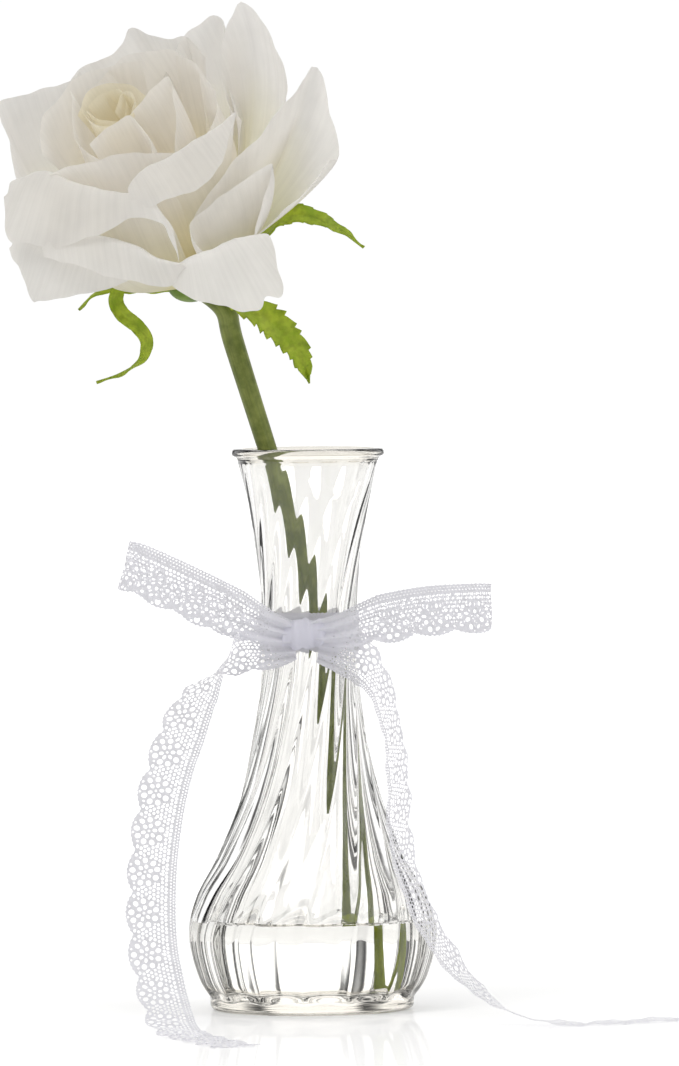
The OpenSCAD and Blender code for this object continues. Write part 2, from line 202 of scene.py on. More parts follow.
def glass_material(name, ior, tint):
    m = Shade(name)
    m.set(m.main, Roughness=0.0, IOR=ior, Transmission_Weight=1.0)
    # thick glass at the foot and the rim looks a little brown
    where = m.add("ShaderNodeSeparateXYZ")
    m.link(m.add("ShaderNodeNewGeometry"), where, "Vector")
    height = m.set(m.add("ShaderNodeMapRange"), From_Max=VASE_H * MM)
    m.link(where, height, "Value", 2)
    thick = m.ramp(height, [
        (0.0, (0.80, 0.76, 0.68)), (0.035, (0.89, 0.86, 0.80)), (0.06, tint),
        (0.965, tint), (0.985, (0.86, 0.83, 0.77))])
    m.link(thick, m.main, "Base Color")
    place = m.add("ShaderNodeTexCoord")
    waves = m.set(m.add("ShaderNodeTexNoise"), Scale=26.0, Detail=2.0, Roughness=0.5)
    m.link(place, waves, "Vector", 3)
    seeds = m.set(m.add("ShaderNodeTexNoise"), Scale=420.0, Detail=1.0, Roughness=0.4)
    m.link(place, seeds, "Vector", 3)
    first = m.bump(waves, 0.25, 0.0016)
    m.bump(seeds, 0.06, 0.0002, m.main, chain=first)
    return m.mat


def petal_material(name, deep, mid, edge, glow):
    m = Shade(name)
    uv = m.add("ShaderNodeUVMap", uv_map="uv")
    split = m.add("ShaderNodeSeparateXYZ")
    m.link(uv, split, "Vector")
    # colour runs from the yellow claw to the pale blade and a warm edge; the yellow deep in the flower is
    # partly the rose's own colour and partly painted warm shade
    run = m.ramp(split, [(0.0, deep), (0.42, mid), (0.8, edge), (1.0, edge)], out=1)
    stretch = m.set(m.add("ShaderNodeMapping"), Scale=(34.0, 2.2, 1.0))
    m.link(uv, stretch, "Vector")
    veins = m.set(m.add("ShaderNodeTexNoise"), Scale=1.0, Detail=4.0, Roughness=0.62)
    m.link(stretch, veins, "Vector")
    place = m.add("ShaderNodeTexCoord")
    cloud = m.set(m.add("ShaderNodeTexNoise"), Scale=60.0, Detail=3.0, Roughness=0.55)
    m.link(place, cloud, "Vector", 3)
    patch = m.ramp(cloud, [(0.3, grey(0.93)), (0.7, grey(1.0))])
    vein_tone = m.ramp(veins, [(0.35, grey(0.955)), (0.62, grey(1.0))])
    colour = m.times(m.times(run.outputs[0], patch.outputs[0]), vein_tone.outputs[0])
    # the petals glow faintly in their own colour, a painted light that lifts their shade; the inner petals
    # glow more
    m.set(m.main, Roughness=0.62, Specular_IOR_Level=0.3, Sheen_Weight=0.25, Sheen_Roughness=0.5,
          Emission_Strength=0.14 if glow > 0.48 else 0.08)
    m.tree.links.new(colour, m.main.inputs["Base Color"])
    m.tree.links.new(colour, m.main.inputs["Emission Color"])
    m.lit_through(colour, glow)
    grain = m.set(m.add("ShaderNodeTexNoise"), Scale=900.0, Detail=2.0, Roughness=0.5)
    m.link(place, grain, "Vector", 3)
    first = m.bump(veins, 0.2, 0.0005)
    m.bump(grain, 0.3, 0.00012, m.main, chain=first)
    return m.mat


def leaf_material(name, light, dark, glow, rough, vein_scale):
    m = Shade(name)
    uv = m.add("ShaderNodeUVMap", uv_map="uv")
    place = m.add("ShaderNodeTexCoord")
    mottle = m.set(m.add("ShaderNodeTexNoise"), Scale=240.0, Detail=5.0, Roughness=0.65)
    m.link(place, mottle, "Vector", 3)
    tone = m.ramp(mottle, [(0.3, dark), (0.68, light)])
    stretch = m.set(m.add("ShaderNodeMapping"), Scale=vein_scale)
    m.link(uv, stretch, "Vector")
    ribs = m.set(m.add("ShaderNodeTexNoise"), Scale=1.0, Detail=3.0, Roughness=0.5)
    m.link(stretch, ribs, "Vector")
    shade = m.ramp(ribs, [(0.3, grey(0.78)), (0.6, grey(1.0))])
    colour = m.times(tone.outputs[0], shade.outputs[0])
    m.tree.links.new(colour, m.main.inputs["Base Color"])
    m.set(m.main, Roughness=rough, Specular_IOR_Level=0.4)
    m.lit_through(colour, glow)
    first = m.bump(ribs, 0.4, 0.0004)
    m.bump(mottle, 0.3, 0.0002, m.main, chain=first)
    return m.mat


def lace_material(name, colour, glow):
    m = Shade(name)
    uv = m.add("ShaderNodeUVMap", uv_map="uv")
    # fine ribs of thread
    ribs = m.set(m.add("ShaderNodeTexWave"), Scale=1.15, Distortion=0.6, Detail=1.0)
    m.link(uv, ribs, "Vector")
    thread = m.set(m.add("ShaderNodeTexNoise"), Scale=7.0, Detail=3.0, Roughness=0.7)
    m.link(uv, thread, "Vector")
    tone = m.ramp(thread, [(0.3, tuple(c * 0.9 for c in colour)), (0.62, colour)])
    m.link(tone, m.main, "Base Color")
    # the lace glows faintly in its own colour, a painted light that lifts its shade
    m.set(m.main, Roughness=0.78, Specular_IOR_Level=0.25, Sheen_Weight=0.35, Sheen_Roughness=0.4,
          Emission_Strength=0.05)
    m.link(tone, m.main, "Emission Color")
    m.lit_through(tone.outputs[0], glow)
    first = m.bump(ribs, 0.5, 0.00015)
    m.bump(thread, 0.6, 0.00015, m.main, chain=first)
    return m.mat


clear_glass = glass_material("clear_glass", 1.5, (0.99, 0.985, 0.97))
# glass against water bends light less than glass against air
wet_glass = glass_material("wet_glass", 1.128, (0.965, 0.96, 0.94))
water_top = glass_material("water_surface", 1.333, (0.985, 0.99, 0.985))
water_side = Shade("water_side", "ShaderNodeBsdfTransparent").mat
# the heart petals, deep in the flower, are a yellower copy of the petal colours: partly the rose's own warmer
# heart and partly painted warm shade
heart_petal = petal_material(
    "petal_heart", (0.82, 0.62, 0.18), (0.90, 0.80, 0.47), (0.90, 0.85, 0.70), 0.5)
cup_petal = petal_material(
    "petal_cup", (0.84, 0.74, 0.36), (0.91, 0.865, 0.70), (0.91, 0.885, 0.84), 0.5)
outer_petal = petal_material(
    "petal_outer", (0.84, 0.79, 0.38), (0.89, 0.86, 0.72), (0.89, 0.872, 0.84), 0.46)
sepal_green = leaf_material(
    "sepal_green", (0.56, 0.67, 0.06), (0.36, 0.50, 0.025), 0.35, 0.45, (3.0, 9.0, 1.0))
stem_green = leaf_material("stem_green", (0.24, 0.28, 0.06), (0.135, 0.17, 0.025), 0.0, 0.5, (26.0, 1.4, 1.0))
stem_wet = leaf_material("stem_wet", (0.40, 0.47, 0.03), (0.24, 0.30, 0.015), 0.1, 0.5, (26.0, 1.4, 1.0))
hip_green = leaf_material("hip_green", (0.22, 0.33, 0.05), (0.12, 0.21, 0.02), 0.1, 0.45, (8.0, 3.0, 1.0))
stamen_yellow = leaf_material(
    "stamen_yellow", (0.80, 0.62, 0.16), (0.62, 0.42, 0.08), 0.1, 0.6, (8.0, 3.0, 1.0))
lace_white = lace_material("lace_white", (0.925, 0.92, 0.965), 0.45)
lace_knot = lace_material("lace_knot", (0.93, 0.925, 1.0), 0.35)


def paint(obj, *materials):
    obj.data.materials.clear()
    for m in materials:
        obj.data.materials.append(m)


# ---------------------------------------------------------------- vase

RIM_R, BEAD, WAIST_R, WAIST_Z = 20.4, 1.1, 12.8, 93.0
BULB_R, BULB_Z, FOOT_R, FOOT_H = 33.5, 20.0, 27.2, 3.6
WALL, FLOOR_T, FLUTES, DEPTH, SWIRL = 2.3, 6.0, 15, 1.55, 110.0
FIRST_RIDGE = -4.4
# The outline is used from the top of the foot ring to the bottom of the bead's curve
FOOT_TOP, BEAD_DEPTH = 3.3, 3.2


def vase_outline():
    """The outside from the foot to just under the rim bead, as radius and height."""
    shoulder, top = WAIST_Z - BULB_Z, VASE_H - BEAD
    wide, flare = BULB_R - WAIST_R, RIM_R - WAIST_R
    return spline([
        (FOOT_R - 0.4, FOOT_H - 1),
        (FOOT_R + (BULB_R - FOOT_R) * 0.6, BULB_Z * 0.45),
        (BULB_R, BULB_Z),
        (WAIST_R + wide * 0.87, BULB_Z + shoulder * 0.14),
        (WAIST_R + wide * 0.57, BULB_Z + shoulder * 0.3),
        (WAIST_R + wide * 0.28, BULB_Z + shoulder * 0.52),
        (WAIST_R + wide * 0.1, BULB_Z + shoulder * 0.76),
        (WAIST_R, WAIST_Z),
        (WAIST_R + flare * 0.04, WAIST_Z + (VASE_H - WAIST_Z) * 0.34),
        (WAIST_R + flare * 0.3, WAIST_Z + (VASE_H - WAIST_Z) * 0.64),
        (WAIST_R + flare * 0.66, WAIST_Z + (VASE_H - WAIST_Z) * 0.87),
        (RIM_R - BEAD, top),
    ], 16)


def flute_share(z):
    """How deep the flutes are at a height: none on the foot, full on the bulb, faint at the rim."""
    rise = smooth_step((z - FOOT_H * 0.8) / 2.6)
    return rise * (1 - 0.86 * np.clip((z - WAIST_Z) / (VASE_H - WAIST_Z), 0, 1) ** 0.55)


def flute_turn(z):
    """How far the flutes have turned at a height, in degrees."""
    return SWIRL * (np.clip(z - BULB_Z, 0, None) / (VASE_H - BULB_Z)) ** 1.25


def fluted_rings(profile, around, depth):
    """Rings of points for a profile of radius and height, with flutes of that depth."""
    r, z = profile[:, 0][:, None], profile[:, 1][:, None]
    a = np.linspace(0, 360, around, endpoint=False)[None, :]
    s = np.abs(np.sin(np.radians(FLUTES * a / 2)))
    soft = np.sqrt(s * s + 0.012) - math.sqrt(0.012)
    cut = depth * flute_share(z) * np.sqrt(np.clip(r, 0, None) / BULB_R) * soft
    t = np.radians(a + flute_turn(z) + FIRST_RIDGE - 90)
    rr = r - cut
    return np.stack([rr * np.cos(t), rr * np.sin(t), np.broadcast_to(z, rr.shape)], axis=-1)


def build_vase():
    out = vase_outline()
    around = FLUTES * 16
    under = spline([(0.0, 0.9), (12.0, 0.9), (21.0, 0.75), (23.6, 0.3), (24.8, 0.0), (26.0, 0.12),
                    (26.9, 0.7), (27.2, 1.5), (27.25, 2.3)], 4)
    body = out[(out[:, 1] > FOOT_TOP) & (out[:, 1] < VASE_H - BEAD_DEPTH)]
    top = VASE_H
    bead = spline([
        body[-1], (19.05, top - 2.6), (19.5, top - 2.25), (20.15, top - 1.9), (20.4, top - 1.15),
        (20.15, top - 0.35), (19.4, top), (18.5, top - 0.15), (17.9, top - 0.75), (17.3, top - 2.4)], 5)
    inner_z = np.linspace(FLOOR_T + 3, top - 3.4, 150)[::-1]
    inner_r = np.interp(inner_z, out[:, 1], out[:, 0])
    inner = np.stack([inner_r - WALL - 0.4 * flute_share(inner_z), inner_z], axis=1)
    low = inner[-1]
    floor = spline([
        low, (low[0] - 0.9, FLOOR_T + 1.4), (low[0] - 3.2, FLOOR_T + 0.25), (low[0] - 7.5, FLOOR_T),
        (9.0, FLOOR_T - 0.1), (0.02, FLOOR_T - 0.1)], 6)
    outer_rings = fluted_rings(np.vstack([under, body]), around, DEPTH)
    bead_rings = fluted_rings(bead[1:], around, 0.0)
    inner_rings = fluted_rings(np.vstack([inner, floor[1:]]), around, 0.0)
    rings = np.vstack([outer_rings, bead_rings, inner_rings])
    rows = rings.shape[0]
    faces = grid_faces(rows, around, wrap=True)
    vase = mesh_object("vase_glass", rings.reshape(-1, 3), faces)
    paint(vase, clear_glass, wet_glass)
    # the inside below the water's surface meets water and not air
    first_inner = len(outer_rings) + len(bead_rings)
    wet_from = first_inner + int(np.argmax(np.vstack([inner, floor[1:]])[:, 1] < WATER))
    index = np.zeros(len(faces), np.int32)
    index[wet_from * around:] = 1
    vase.data.polygons.foreach_set("material_index", index)
    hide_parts("glass_vase")
    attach(vase, "vase")
    return inner, floor


def build_water(inner, floor):
    gap = 0.05
    wet = inner[inner[:, 1] < WATER]
    wall = np.vstack([[(np.interp(WATER, inner[::-1, 1], inner[::-1, 0]), WATER)], wet, floor[1:-1]])
    wall = wall - [gap, 0]
    wall[:, 1] = np.maximum(wall[:, 1], FLOOR_T - 0.05)
    edge = wall[0, 0]
    shares = np.linspace(0.002, 1, 40) ** 0.6
    top = np.stack([edge * shares, WATER - 0.9 + 0.9 * np.exp(-(edge - edge * shares) / 1.1)], axis=1)
    around = 120
    rings = fluted_rings(np.vstack([top, wall[1:]]), around, 0.0)
    faces = grid_faces(rings.shape[0], around, wrap=True)
    obj = mesh_object("vase_water", rings.reshape(-1, 3), faces[:, ::-1])
    paint(obj, water_top, water_side)
    index = np.zeros(len(faces), np.int32)
    index[(len(top) - 1) * around:] = 1
    obj.data.polygons.foreach_set("material_index", index)
    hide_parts("water")
    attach(obj, "vase")


vase_inner, vase_floor = build_vase()
build_water(vase_inner, vase_floor)


# ---------------------------------------------------------------- lace ribbon

RIBBON_W = 13.5
REPEAT = 11.5
TAPE = 2.3


def uneven(k):
    """A steady share between -0.5 and 0.5 for each whole number."""
    return (math.sin(12.9898 * k) * 43758.5453) % 1 - 0.5


def lace_holes():
    """Holes of one repeat of the lace: centre, half sizes and turn of each."""
    holes = []
    flower = (REPEAT / 2, 8.5)
    # two rows of ladder holes in the woven tape
    for k in range(13):
        u = (k + 0.5) * REPEAT / 13
        holes.append((u, 0.72, 0.24, 0.23, 0.0))
        holes.append((u + 0.42, 1.5, 0.26, 0.24, 0.0))
    pitch, row_step = REPEAT / 10, 1.04
    row, v = 0, TAPE + 0.45
    while v < RIBBON_W - 1.8:
        for k in range(10):
            n = 10 * row + k
            u = (k + 0.5 * (row % 2)) * pitch + 0.22 * uneven(n)
            away = min(math.hypot(u + o - flower[0], v - flower[1]) for o in (-REPEAT, 0, REPEAT))
            if away > 4.4 and v < scallop_edge(u) - 1.0:
                half = 0.47 + 0.1 * uneven(n + 7), 0.42 + 0.1 * uneven(n + 90)
                holes.append((u, v + 0.16 * uneven(n + 50), *half, 60 * uneven(n + 3)))
        row += 1
        v += row_step
    holes.append((flower[0], flower[1], 0.34, 0.34, 0.0))
    for k in range(6):
        a = 60 * k + 12 + 14 * uneven(k + 200)
        u, v = flower[0] + 1.55 * math.cos(rad(a)), flower[1] + 1.55 * math.sin(rad(a))
        holes.append((u, v, 0.66, 0.5 + 0.1 * uneven(k + 210), a))
    for k in range(9):
        a = 40 * k + 18 + 8 * uneven(k + 220)
        u, v = flower[0] + 3.3 * math.cos(rad(a)), flower[1] + 3.3 * math.sin(rad(a))
        if v < scallop_edge(u) - 1.0:
            holes.append((u, v, 0.84 + 0.1 * uneven(k + 230), 0.74 + 0.16 * uneven(k + 240), a))
        u, v = flower[0] + 4.25 * math.cos(rad(a + 20)), flower[1] + 4.25 * math.sin(rad(a + 20))
        if v < scallop_edge(u) - 0.75:
            holes.append((u, v, 0.3, 0.34, a + 20))
    return holes


def scallop_edge(u):
    return RIBBON_W - 1.9 + 1.9 * np.abs(np.sin(np.pi * u / REPEAT)) ** 0.8


def lace_depth(u, v, open_size=1.0):
    """How far a point lies inside the cloth of the lace; below zero in a hole."""
    straight = v - 0.24 * np.abs(np.sin(np.pi * u / 1.15))
    scallops = scallop_edge(u) - 0.3 * np.abs(np.sin(np.pi * u / 1.28)) - v
    d = np.minimum(straight, scallops)
    m = np.mod(u, REPEAT)
    for cu, cv, ru, rv, turn in LACE_HOLES:
        x = np.mod(m - cu + REPEAT / 2, REPEAT) - REPEAT / 2
        y = v - cv
        c, s = math.cos(rad(turn)), math.sin(rad(turn))
        p, q = (x * c + y * s) / ru, (-x * s + y * c) / rv
        d = np.minimum(d, (np.sqrt(p * p + q * q) - open_size) * min(ru, rv))
    return d


LACE_HOLES = lace_holes()


def flat_lace(length, step, start, where, sizes):
    """Lace as a flat mesh: places along and across in millimetres, and faces."""
    nu, nv = int(round(length / step)) + 1, int(round(RIBBON_W / step)) + 1
    u, v = np.meshgrid(np.linspace(0, length, nu), np.linspace(0, RIBBON_W, nv), indexing="ij")
    du, dv = length / (nu - 1), RIBBON_W / (nv - 1)
    size = np.interp(u, where, sizes)
    keep = lace_depth(u[:-1, :-1] + du / 2 + start, v[:-1, :-1] + dv / 2, size[:-1, :-1]) > 0
    d = lace_depth(u + start, v, size)
    gu, gv = np.gradient(d, du, dv)
    g = np.maximum(gu * gu + gv * gv, 0.2)
    near = np.abs(d) < 0.75 * step
    pull = np.where(near, d, 0) / g
    u2 = np.clip(u - np.clip(pull * gu, -0.45 * du, 0.45 * du), 0, length)
    v2 = v - np.clip(pull * gv, -0.45 * dv, 0.45 * dv)
    faces = grid_faces(nu, nv)[keep.ravel()]
    used, faces = np.unique(faces, return_inverse=True)
    return u2.ravel()[used], v2.ravel()[used], faces.reshape(-1, 4)


def lay_ribbon(name, path, across, open_share, material, node,
               start=0.0, flip=False, pleats=3, ripple=0.25, step=0.17, pinch=1.0, dense=1.0):
    """Lays lace along a path. open_share gives, at each point, how far the width is spread;
    where it is gathered, the lace folds into pleats of the same length across."""
    path, across = np.asarray(path, float), unit(np.asarray(across, float))
    where = arc_length(path)
    total = where[-1]
    # the holes close where the lace is gathered
    sizes = dense * np.clip((np.asarray(open_share, float) - GATHER) / 0.4, 0.3, 1.0)
    u, v, faces = flat_lace(total, step, start, where, sizes)
    tangent = unit(np.gradient(path, where, axis=0))
    side = unit(across - (across * tangent).sum(1, keepdims=True) * tangent)
    normal = np.cross(tangent, side)
    c = at_length(u, where, path)
    s = unit(at_length(u, where, side))
    n = unit(at_length(u, where, normal))
    share = np.interp(u, where, open_share)
    w = (v - RIBBON_W / 2) * (-1 if flip else 1)
    wave = RIBBON_W / pleats
    amp = wave / (2 * math.pi) * math.sqrt(2) * np.sqrt(np.clip(1 / share ** 2 - 1, 0, 6)) * share * pinch
    lift = amp * np.sin(2 * math.pi * v / wave + 0.8 + 0.05 * u)
    sway = np.sin(0.42 * u + 1.3 * name.count("l")) * np.cos(0.28 * v) + 0.5 * np.sin(1.07 * u + 0.5 * v)
    lift += ripple * sway * np.clip(share, 0, 1)
    points = c + s * (w * share)[:, None] + n * lift[:, None]
    obj = mesh_object(name, points, faces, uv=np.stack([u, v], axis=1))
    paint(obj, material)
    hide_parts(node)
    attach(obj, "vase")
    # the share of the flat ribbon that is cloth and not hole
    sample = np.meshgrid(np.linspace(0, REPEAT, 120), np.linspace(0, RIBBON_W, 140))
    part = float(np.clip((lace_depth(*sample, float(sizes.mean())) > 0).mean(), 0.3, 1))


BOW_Z, BOW_R = WAIST_Z + 8, WAIST_R + 0.35
KNOT = np.array([-1.3, -BOW_R - 4.4, BOW_Z])
GATHER = 0.45

LEFT_LOOP = [
    (-3, -1.2, 0.2), (-12, -3, 2.2), (-23, -5.4, 7.4), (-35, -5.6, 13), (-45.5, -2.6, 17.8),
    (-47.6, 0.8, 18.6), (-43.5, 3.4, 17.4), (-31, 5, 11.6), (-19, 4.6, 5.6), (-10, 2.8, 1.6), (-3, 1.4, 0.2)]
LEFT_LOOP_ACROSS = [
    (0.1, 0, 1), (0.2, 0, 1), (0.42, 0, 1), (0.42, 0, 1), (0.3, 0, 1),
    (0.25, 0, 1), (0.3, 0, 1), (0.42, 0, 1), (0.42, 0, 1), (0.2, 0, 1), (0.1, 0, 1)]
RIGHT_LOOP = [
    (2, -1.2, 0), (11, -3, 1.2), (21, -5.2, 4), (32, -5.4, 6), (44, -3.4, 6.6),
    (49.8, 0.2, 6.4), (45, 3.6, 6.2), (33, 5.2, 5.4), (21, 4.6, 3.4), (11, 2.8, 1), (2, 1.4, 0)]
RIGHT_LOOP_ACROSS = [
    (0, 0, 1), (-0.15, 0, 1), (-0.25, 0, 1), (-0.1, 0, 1), (0.03, 0, 1),
    (0.05, 0, 1), (0.03, 0, 1), (-0.1, 0, 1), (-0.25, 0, 1), (-0.15, 0, 1), (0, 0, 1)]
LEFT_TAIL = [
    (-3.5, 0.1, 0.955), (-12, -0.6, 0.95), (-19.5, -2.6, 0.945), (-25, -7, 0.905),
    (-30, -12, 0.835), (-34.5, -18, 0.735), (-38.5, -24.5, 0.615), (-41, -31.5, 0.475),
    (-42, -38.5, 0.335), (-41.5, -44.5, 0.2), (-39, -51.5, 0.085), (-36, -62.5, 0.012),
    (-31, -79.5, 0), (-25, -97.5, 0), (-19, -114.5, 0)]
LEFT_TAIL_ACROSS = [
    (0, 0, 1), (0.1, 0, 1), (0.4, -0.3, 1), (1, -0.6, 0.8),
    (1, -0.3, 0.3), (1, 0, 0.1), (1, 0, 0), (1, 0.1, 0),
    (1, 0, 0), (1, 0, 0), (1, 0.1, 0), (1, 0.2, 0),
    (1, 0.3, 0), (1, 0.3, 0), (1, 0.3, 0)]
RIGHT_TAIL = [
    (2.5, 0.1, 0.955), (9, -0.6, 0.94), (15.5, -3.5, 0.915), (19.5, -8, 0.845),
    (22, -13.5, 0.74), (23.3, -20.5, 0.62), (23.6, -27.5, 0.495), (26, -33.5, 0.375),
    (31, -38.5, 0.255), (38.5, -43.5, 0.145), (47, -46.5, 0.065), (57, -48.5, 0.015),
    (70, -46.5, 0), (85, -39.5, 0), (101, -29.5, 0)]
RIGHT_TAIL_ACROSS = [
    (0, 0, 1), (0.2, -0.1, 1), (0.4, -0.5, 0.9), (0.45, -0.9, 0.45),
    (0.4, -1, 0.1), (0.46, -1, 0), (0.5, -1, 0), (0.5, -1, 0.1),
    (0.5, -1, 0.2), (0.4, -1, 0.2), (0.2, -1, 0.1), (0.1, -1, 0),
    (-0.1, -1, 0), (-0.3, -1, 0), (-0.4, -1, 0)]
ON_TABLE = 0.4


def spread(count, per_span, both_ends):
    k = np.arange(count)
    if both_ends:
        k = np.minimum(k, count - 1 - k)
    return GATHER + (1 - GATHER) * np.clip(k / (per_span * 2), 0, 1)


def build_ribbon():
    span = 10
    for name, pts, lie, start, flip in (
            ("ribbon_left_loop", LEFT_LOOP, LEFT_LOOP_ACROSS, 3.0, True),
            ("ribbon_right_loop", RIGHT_LOOP, RIGHT_LOOP_ACROSS, 8.0, True)):
        path = spline(pts, span) + KNOT
        lay_ribbon("lace_" + name[7:], path, spline(lie, span), spread(len(path), span, True), lace_white,
                   name, start, flip)
    for name, pts, lie, start, flip in (
            ("ribbon_left_tail", LEFT_TAIL, LEFT_TAIL_ACROSS, 0.0, True),
            ("ribbon_right_tail", RIGHT_TAIL, RIGHT_TAIL_ACROSS, 5.0, False)):
        raw = np.array(pts, float)
        full = np.stack([raw[:, 0], KNOT[1] + raw[:, 1], ON_TABLE + raw[:, 2] * (BOW_Z - ON_TABLE)], axis=1)
        path = spline(full, span)
        lay_ribbon("lace_" + name[7:], path, spline(lie, span), spread(len(path), span, False), lace_white,
                   name, start, flip, dense=0.9)
    # the ring round the waist
    a = np.radians(np.linspace(-90, 270, 120))
    ring = np.stack([(BOW_R + 0.25) * np.cos(a), (BOW_R + 0.25) * np.sin(a), np.full(a.shape, BOW_Z)], axis=1)
    lay_ribbon("lace_wrap", ring, np.tile([0, 0, 1.0], (120, 1)), np.full(120, 0.82), lace_white,
               "ribbon_wrap", 1.0, True,
               pleats=4, ripple=0.08, pinch=0.35, dense=0.4)


build_ribbon()


def build_knot():
    """The knot: a short pleated piece of the same ribbon, wound over the crossing."""
    rows, cols = 96, 60
    a = np.linspace(0, 2 * math.pi, rows, endpoint=False)[:, None]
    x = np.linspace(-1, 1, cols)[None, :]
    body = np.sqrt(np.clip(1 - 0.62 * np.abs(x) ** 2.4, 0, 1))
    folds = (0.30 * np.sin(3.2 * math.pi * x + 1.4 * np.sin(a + 0.6)) + 0.22 * np.sin(7 * x + 2 * a)
             + 0.10 * np.sin(19 * x - 3 * a))
    ry, rz = 2.9 * body + folds * 0.8, 4.0 * body + folds
    sideways = np.broadcast_to(x * 5.6 + 0.5 * np.sin(a), ry.shape)
    pts = np.stack([sideways, ry * np.cos(a), rz * np.sin(a)], axis=-1) + KNOT
    faces = grid_faces(rows, cols)
    seam = np.stack([np.arange(cols - 1) + (rows - 1) * cols, np.arange(1, cols) + (rows - 1) * cols,
                     np.arange(1, cols), np.arange(cols - 1)], axis=-1)
    uv = np.stack(np.broadcast_arrays(a * 3.5, (x + 1) * RIBBON_W / 2), axis=-1)
    obj = mesh_object("lace_knot", pts.reshape(-1, 3), np.vstack([faces, seam]), uv=uv.reshape(-1, 2))
    paint(obj, lace_knot)
    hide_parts("ribbon_knot")
    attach(obj, "vase")


build_knot()


# ---------------------------------------------------------------- rose

LEAN, TILT = 26.0, 30.0
BASE = np.array([-31.0, -6.0, VASE_H + 49])
AXIS = np.array([-math.sin(rad(LEAN)) * math.cos(rad(TILT)), -math.sin(rad(TILT)),
                 math.cos(rad(LEAN)) * math.cos(rad(TILT))])
RIGHT = np.array([math.cos(rad(LEAN)), 0, math.sin(rad(LEAN))])
FRONT = -np.cross(AXIS, RIGHT)


def in_flower(points):
    """From the flower's frame (right, front, up its axis) to the scene."""
    return BASE + points[..., 0:1] * RIGHT + points[..., 1:2] * FRONT + points[..., 2:3] * AXIS


STEM_R, STEM_LEAN = 2.9, 10.0
LIFT = np.array([-math.sin(rad(STEM_LEAN)), 0, math.cos(rad(STEM_LEAN))])
STEM_FOOT = np.array([16.5, 0, FLOOR_T + 0.6 + STEM_R * math.sin(rad(STEM_LEAN))])


def build_stem():
    end = STEM_FOOT + LIFT * 24
    waist = np.array([WAIST_R * 0.36, -0.5, WAIST_Z])
    path = spline([STEM_FOOT, STEM_FOOT + LIFT * 12, end, (end + waist) / 2, waist,
                   (-1.8, -1, WAIST_Z + (VASE_H - WAIST_Z) * 0.5), (-10.8, -1.8, VASE_H),
                   (-19.4, -1.6, VASE_H + 28), BASE + (9.2, 1.4, -11.6), BASE - AXIS * 7.4], 22)
    where = arc_length(path)
    t = unit(np.gradient(path, where, axis=0))
    u = unit(np.array([0, 1.0, 0]) - t[:, 1:2] * t)
    v = np.cross(t, u)
    sides = 40
    a = np.linspace(0, 2 * math.pi, sides, endpoint=False)
    s = where[:, None] / where[-1]
    ribs = 1 + 0.018 * np.sin(7 * a + 5 * s) + 0.012 * np.sin(3 * a - 11 * s + 2)
    # thinner down to the waist, and a little thicker again at the cut end
    r = STEM_R - 1.05 * np.clip((0.9 - s) / 0.5, 0, 1) + 0.35 * np.clip((0.17 - s) / 0.1, 0, 1)
    under_hip = np.where(s > 0.93, 1 + 0.10 * (s - 0.93) / 0.07, 1)
    r = r * ribs * (1 - 0.05 * np.sin(9 * s)) * under_hip
    spoke = np.cos(a)[None, :, None] * u[:, None] + np.sin(a)[None, :, None] * v[:, None]
    rings = path[:, None] + r[..., None] * spoke
    rows = len(path)
    faces = grid_faces(rows, sides, wrap=True)
    verts = np.vstack([rings.reshape(-1, 3), path[:1] - t[:1] * 0.25, path[-1:]])
    low, high = rows * sides, rows * sides + 1
    last = (rows - 1) * sides
    caps = [(low, i, (i + 1) % sides) for i in range(sides)]
    caps += [(high, last + (i + 1) % sides, last + i) for i in range(sides)]
    uv = np.stack(np.broadcast_arrays(a[None, :] / (2 * math.pi), where[:, None] / 20), axis=-1)
    uv = np.vstack([uv.reshape(-1, 2), [[0.5, 0]], [[0.5, where[-1] / 20]]])
    obj = mesh_object("stem", verts, [tuple(f) for f in faces] + caps, uv=uv)
    paint(obj, stem_green, stem_wet)
    # the part that stands in the water has kept its fresh colour
    index = np.zeros(len(faces) + len(caps), np.int32)
    index[:int(np.argmax(path[:, 2] > WATER)) * sides] = 1
    index[len(faces):len(faces) + sides] = 1
    obj.data.polygons.foreach_set("material_index", index)
    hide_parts("rose_stem")
    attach(obj, "rose")


def build_hip():
    profile = spline([(0.3, -9.6), (3.0, -9.4), (5.4, -8.2), (7.5, -6.0), (8.3, -3.8), (7.6, -1.6),
                      (6.2, 0.4), (3.4, 2.4), (0.2, 3.4)], 6)
    around = 60
    a = np.linspace(0, 2 * math.pi, around, endpoint=False)[None, :]
    r = profile[:, 0:1] * (1 + 0.02 * np.cos(5 * a))
    pts = np.stack([r * np.cos(a), r * np.sin(a), np.broadcast_to(profile[:, 1:2], r.shape)], axis=-1)
    uv = np.stack(np.broadcast_arrays(a / 6.3, profile[:, 1:2] / 20), axis=-1)
    faces = grid_faces(len(profile), around, wrap=True)
    obj = mesh_object("hip", in_flower(pts).reshape(-1, 3), faces, uv=uv.reshape(-1, 2))
    paint(obj, hip_green)
    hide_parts("rose_hip")
    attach(obj, "rose")


build_stem()
build_hip()
paint(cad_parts["rose_stamens"], stamen_yellow)


